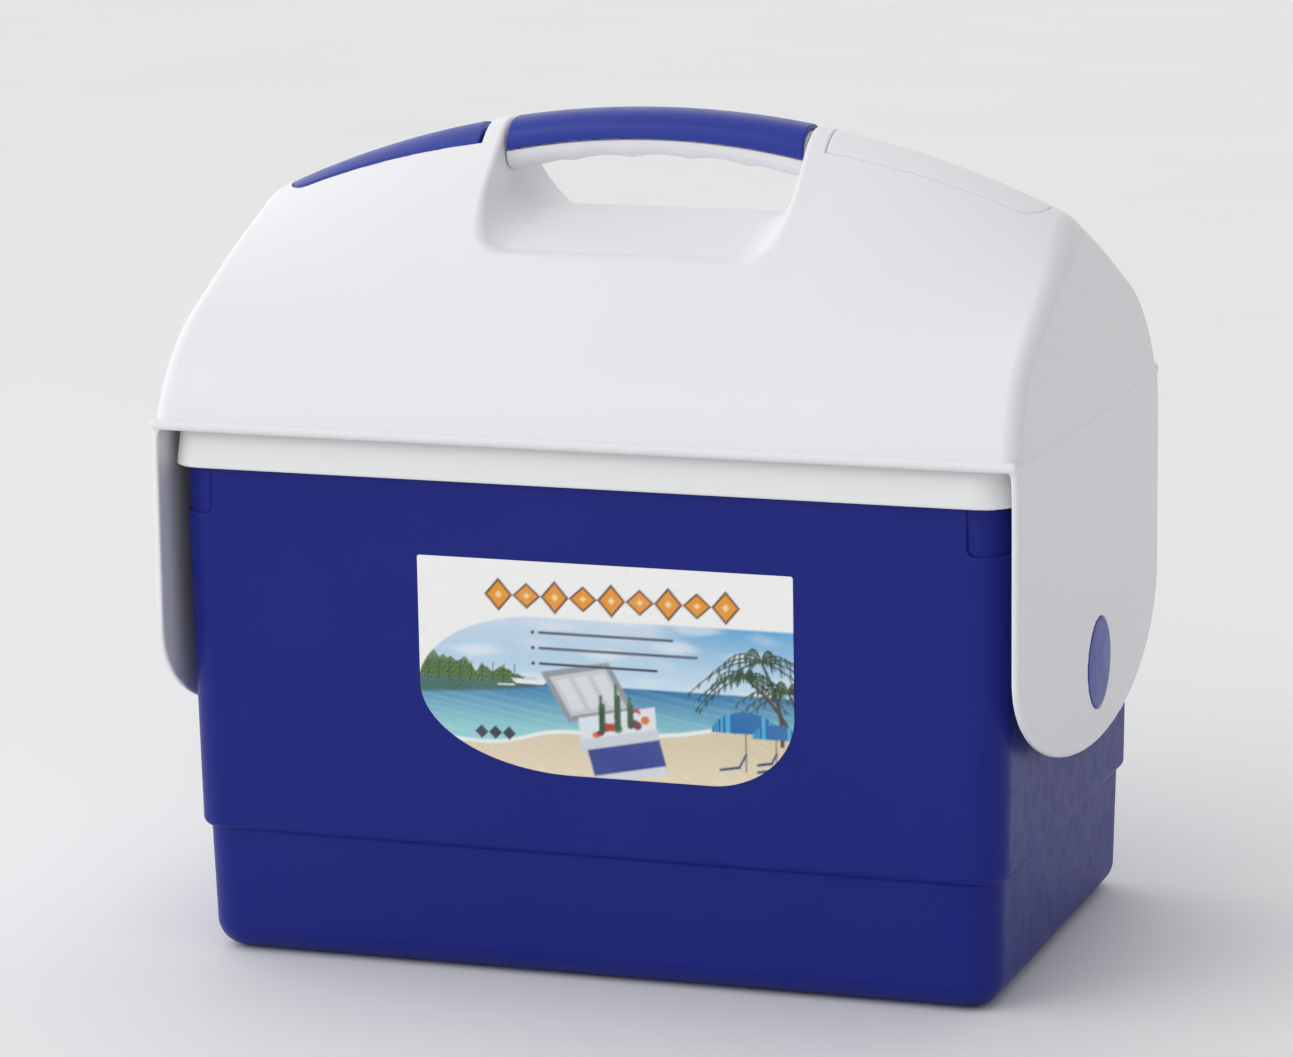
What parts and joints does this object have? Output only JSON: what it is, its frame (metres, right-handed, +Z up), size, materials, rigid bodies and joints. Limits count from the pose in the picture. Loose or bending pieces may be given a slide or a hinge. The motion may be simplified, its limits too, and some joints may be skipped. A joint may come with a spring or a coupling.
{
  "type": "cooler chest",
  "caption": "Insulated box with a roof-shaped lid that swings front or back on two end arms, with a carry handle and a push-button latch on the ridge.",
  "frame": {"origin": "middle of the base, on the surface that the chest stands on", "axes": "+X along the length towards the plain ridge cover, -Y the front with the sticker, +Z up"},
  "size_m": [0.4418, 0.2816, 0.4083],
  "materials": {
    "blue_shell": "satin moulded polypropylene, deep blue",
    "blue_trim": "satin moulded plastic, brighter blue",
    "white_shell": "satin moulded polypropylene, white",
    "white_lining": "smooth food-grade plastic, white",
    "foam": "rigid insulating foam, cream",
    "sticker": "printed vinyl sticker",
    "steel": "plated steel"
  },
  "bodies": {
    "base": {"outer_shell": "blue_shell", "inner_liner": "white_lining", "body_foam": "foam", "foam_plug": "blue_shell", "front_label": "sticker", "pivot_stub_left": "white_lining", "pivot_stub_right": "white_lining", "pivot_washer_left": "steel", "pivot_washer_right": "steel", "pivot_screw_left": "steel", "pivot_screw_right": "steel"},
    "lid": {"lid_shell": "white_shell", "lid_liner": "white_lining", "lid_foam": "foam", "handle_underside": "white_shell", "handle_grip": "blue_trim", "right_ridge_cover": "white_shell", "button_pin": "steel", "button_spring": "steel", "lever_pin": "steel", "lid_liner_screw_1": "steel", "lid_liner_screw_2": "steel", "lid_liner_screw_3": "steel", "lid_liner_screw_4": "steel", "pivot_cap_left": "blue_trim", "pivot_cap_right": "blue_trim", "handle_screw_left": "steel", "handle_screw_right": "steel"},
    "button": {"push_button": "blue_trim"},
    "lever": {"latch_lever": "white_lining"}
  },
  "joints": [
    {"name": "lid_swing", "type": "hinge", "parent": "base", "child": "lid", "pos_m": [0, 0, 0.144], "axis": [1, 0, 0], "range_deg": [-85, 85]},
    {"name": "button_press", "type": "hinge", "parent": "lid", "child": "button", "pos_m": [-0.184, 0, 0.36], "axis": [0, 1, 0], "range_deg": [0, 3], "stiffness_Nm_per_rad": 0.3, "deforming": ["button_spring"]},
    {"name": "lever_rock", "type": "hinge", "parent": "lid", "child": "lever", "pos_m": [-0.14, 0, 0.352], "axis": [0, 1, 0], "range_deg": [0, 7]}
  ],
  "couplings": [
    {"joint": "lever_rock", "follows": "button_press", "ratio": 2.2}
  ]
}
